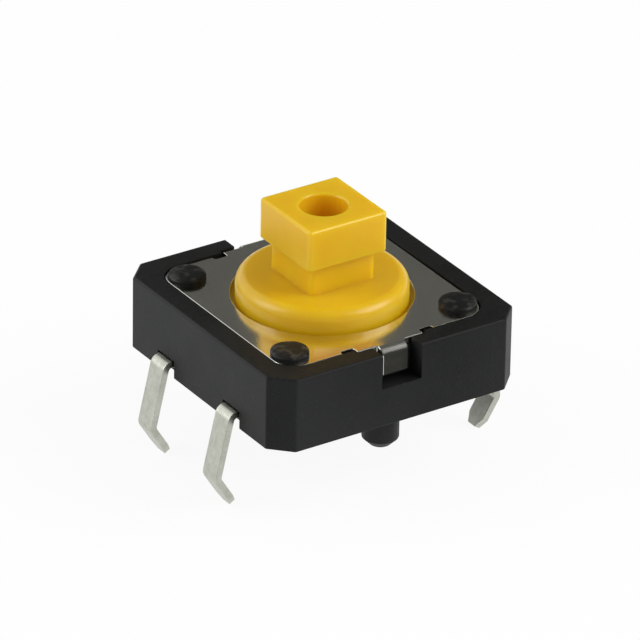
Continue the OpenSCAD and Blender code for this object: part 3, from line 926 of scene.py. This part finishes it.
TIN = contact_metal()
contact_frame = frame_recipe()
outer_pads = [(x, y, OUTER_BUMP_TOP) for x, y in outer_bumps]
for name, node, strip_y, pads in (
        ("centre_contact_leads", "contact_frame_centre", LEAD_Y, [(0, 0, CENTRE_BUMP_TOP)]),
        ("outer_contact_leads", "contact_frame_outer", -LEAD_Y, outer_pads)):
    leads = solid(grow(contact_frame, frame_places(strip_y, pads),
                       {"Width": LEAD_W, "Thickness": METAL_T, "Edge radius": LEAD_EDGE_R,
                        "Pad radius": PAD_R, "Bump radius": BUMP_R, "Finish": TIN}))
    soften(leads, LEAD_END_EDGE, angle=LEAD_END_ANGLE)
    hand_over(leads, name, TIN)
    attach(leads, "housing")
    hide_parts(node)

# Floor and lights
# The switch stands on the tips of its leads on a plain white floor, in the light of two soft lamps.
# Grey cards that only mirror-like surfaces see make the steel as dark as it is in the photo. Their
# ring is open at the left and the back left, where the bends of the near leads mirror the white.
FLOOR_HALF = 3.0
FLOOR_GREY = 0.9
LAMP_DISTANCE = 350 * MM
WORLD_LIGHT = 0.5
SEEN_WHITE = 0.92
CARD_PLACES = 8
OPEN_PLACES = (1, 2)
CARD_DISTANCE = 50
CARD_MIDDLE_Z = 46
TOP_CARD_Z = 88
CARD_LIFT = 0.1


def sheet(name, half_w, half_h):
    """Mesh of one flat rectangle at height 0 that faces up."""
    mesh = bpy.data.meshes.new(name)
    mesh.from_pydata(level(rectangle(-half_w, -half_h, half_w, half_h), 0), [], [(0, 1, 2, 3)])
    return mesh


tip_z = min(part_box(name)[0][2] for name in ("contact_frame_centre", "contact_frame_outer"))
floor_mesh = sheet("floor", FLOOR_HALF, FLOOR_HALF)
floor_mesh.transform(Matrix.Translation((0, 0, tip_z)))
floor = bpy.data.objects.new("floor", floor_mesh)
bpy.context.scene.collection.objects.link(floor)


def seen_directly(tree):
    """1 for a ray from the camera, a mirror-like surface or clear glass, and 0 for other light."""
    path = tree.node("ShaderNodeLightPath")
    seen = path["Is Camera Ray"]
    for name in ("Is Glossy Ray", "Is Transmission Ray"):
        seen = seen.maths("MAXIMUM", seen, path[name])
    return seen


floor_paint = bpy.data.materials.new("floor_paint")
paint = blank_tree(floor_paint)
matt = paint.node("ShaderNodeBsdfDiffuse", {}, {"Color": (FLOOR_GREY, FLOOR_GREY, FLOOR_GREY, 1)})
white = paint.node("ShaderNodeEmission", {}, {"Color": (1, 1, 1, 1), "Strength": 1.0})
share = seen_directly(paint) * SEEN_WHITE
mixed = paint.node("ShaderNodeMixShader", {}, {0: share, 1: matt[0], 2: white[0]})
paint.join(mixed[0], paint.node("ShaderNodeOutputMaterial").made.inputs[0])
floor_mesh.materials.append(floor_paint)

world = bpy.data.worlds.new("world")
bpy.context.scene.world = world
sky = blank_tree(world)
strength = seen_directly(sky) * (1 - WORLD_LIGHT) + WORLD_LIGHT
light = sky.node("ShaderNodeBackground", {}, {"Color": (1, 1, 1, 1), "Strength": strength})
sky.join(light[0], sky.node("ShaderNodeOutputWorld").made.inputs[0])


def lamp(name, azimuth, elevation, side, power):
    """Soft square lamp that faces the object. Azimuth and elevation are as for the camera."""
    made = bpy.data.objects.new(name, bpy.data.lights.new(name, "AREA"))
    made.data.shape = "SQUARE"
    made.data.size = side
    made.data.energy = power
    a, e = radians(azimuth), radians(elevation)
    toward = Vector((sin(a) * cos(e), -cos(a) * cos(e), sin(e)))
    made.matrix_world = (Matrix.Translation(toward * LAMP_DISTANCE)
                         @ toward.to_track_quat("Z", "Y").to_matrix().to_4x4())
    bpy.context.scene.collection.objects.link(made)


lamp("key_lamp", azimuth=47, elevation=35, side=0.22, power=0.78)
lamp("fill_lamp", azimuth=-113, elevation=30, side=0.22, power=0.46)


def stage_card(name, centre, half_w, half_h, azimuth, tilt, paper):
    """Card that only mirror-like surfaces see, in millimetres. Azimuth is in radians, as the
    camera's is. Tilt is in degrees: the card lies flat at 0, and stands at 90."""
    mesh = sheet(name, half_w, half_h)
    facing = Matrix.Rotation(azimuth, 4, "Z") @ Matrix.Rotation(radians(tilt), 4, "X")
    mesh.transform(Matrix.Translation(centre) @ facing)
    mesh.transform(Matrix.Scale(MM, 4))
    mesh.materials.append(paper)
    card = bpy.data.objects.new(name, mesh)
    bpy.context.scene.collection.objects.link(card)
    for kind in ("camera", "diffuse", "transmission", "volume_scatter", "shadow"):
        setattr(card, "visible_" + kind, False)


def card_paper(name, grey):
    """Matt paper, very slightly warm."""
    warmth = 0.95
    material = bpy.data.materials.new(name)
    tree = blank_tree(material)
    matt = tree.node("ShaderNodeBsdfDiffuse", {}, {"Color": (grey, grey, grey * warmth, 1)})
    tree.join(matt[0], tree.node("ShaderNodeOutputMaterial").made.inputs[0])
    return material


GREY_PAPER = card_paper("grey_paper", grey=0.12)
# Darker paper, for the two cards that paint shade on a bent tab
TAB_SHADE_PAPER = card_paper("tab_shade_paper", grey=0.04)
for k in range(CARD_PLACES):
    around = CAMERA_AZIMUTH + radians(360 * k / CARD_PLACES)
    behind = Vector((-sin(around), cos(around), 0))
    middle = behind * CARD_DISTANCE + Vector((0, 0, CARD_MIDDLE_Z))
    if k not in OPEN_PLACES:
        stage_card(f"round_card_{k}", middle, half_w=21, half_h=40, azimuth=around, tilt=90,
                   paper=GREY_PAPER)
stage_card("top_card", Vector((0, 0, TOP_CARD_Z)), half_w=52, half_h=52,
           azimuth=CAMERA_AZIMUTH, tilt=0, paper=GREY_PAPER)
card_floor = tip_z / MM + CARD_LIFT
# Two dark cards before the near window, seen only by mirror-like surfaces: painted shade on the bent tab
# in that window
stage_card("tab_shade_card", Vector((5.5, -13.8, 3)), half_w=3, half_h=7,
           azimuth=-CAMERA_AZIMUTH, tilt=90, paper=TAB_SHADE_PAPER)
stage_card("tab_floor_shade_card", Vector((4.6, -12.2, card_floor)), half_w=1.8, half_h=2.0,
           azimuth=-CAMERA_AZIMUTH, tilt=0, paper=TAB_SHADE_PAPER)
# A grey card on the floor before the near corner, seen only by mirror-like surfaces: it darkens what the
# corner's chamfer and the nearest lead mirror
stage_card("corner_card", Vector((-15, -12, card_floor)), half_w=5, half_h=5,
           azimuth=0, tilt=0, paper=GREY_PAPER)
